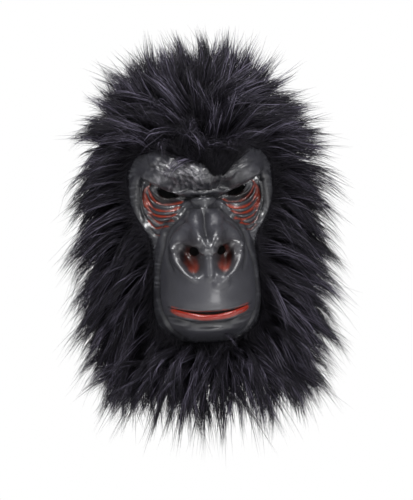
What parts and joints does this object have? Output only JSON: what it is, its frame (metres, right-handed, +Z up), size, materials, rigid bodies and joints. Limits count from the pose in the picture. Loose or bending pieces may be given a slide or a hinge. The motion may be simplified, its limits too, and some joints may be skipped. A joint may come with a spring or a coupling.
{
  "type": "gorilla mask",
  "caption": "Full-head gorilla mask: a hollow moulded latex face and hood, open at the neck, wrapped in panels of long black pile fur.",
  "frame": {"origin": "the point inside the crown of the hollow that rests on top of the wearer's head", "axes": "+Z up, the face looks along -Y, +X to the right as seen from in front of the face"},
  "size_m": [0.2832, 0.2972, 0.3983],
  "materials": {
    "moulded_latex": "satin grey paint over latex, red in the eye folds, nostrils and lips",
    "pile_fur": "long black pile with a faint violet sheen"
  },
  "bodies": {
    "root": {"latex_shell": "moulded_latex", "crown_fur": "pile_fur", "back_fur": "pile_fur", "left_temple_fur": "pile_fur", "right_temple_fur": "pile_fur", "left_cheek_fur": "pile_fur", "right_cheek_fur": "pile_fur", "beard_fur": "pile_fur"}
  },
  "joints": []
}
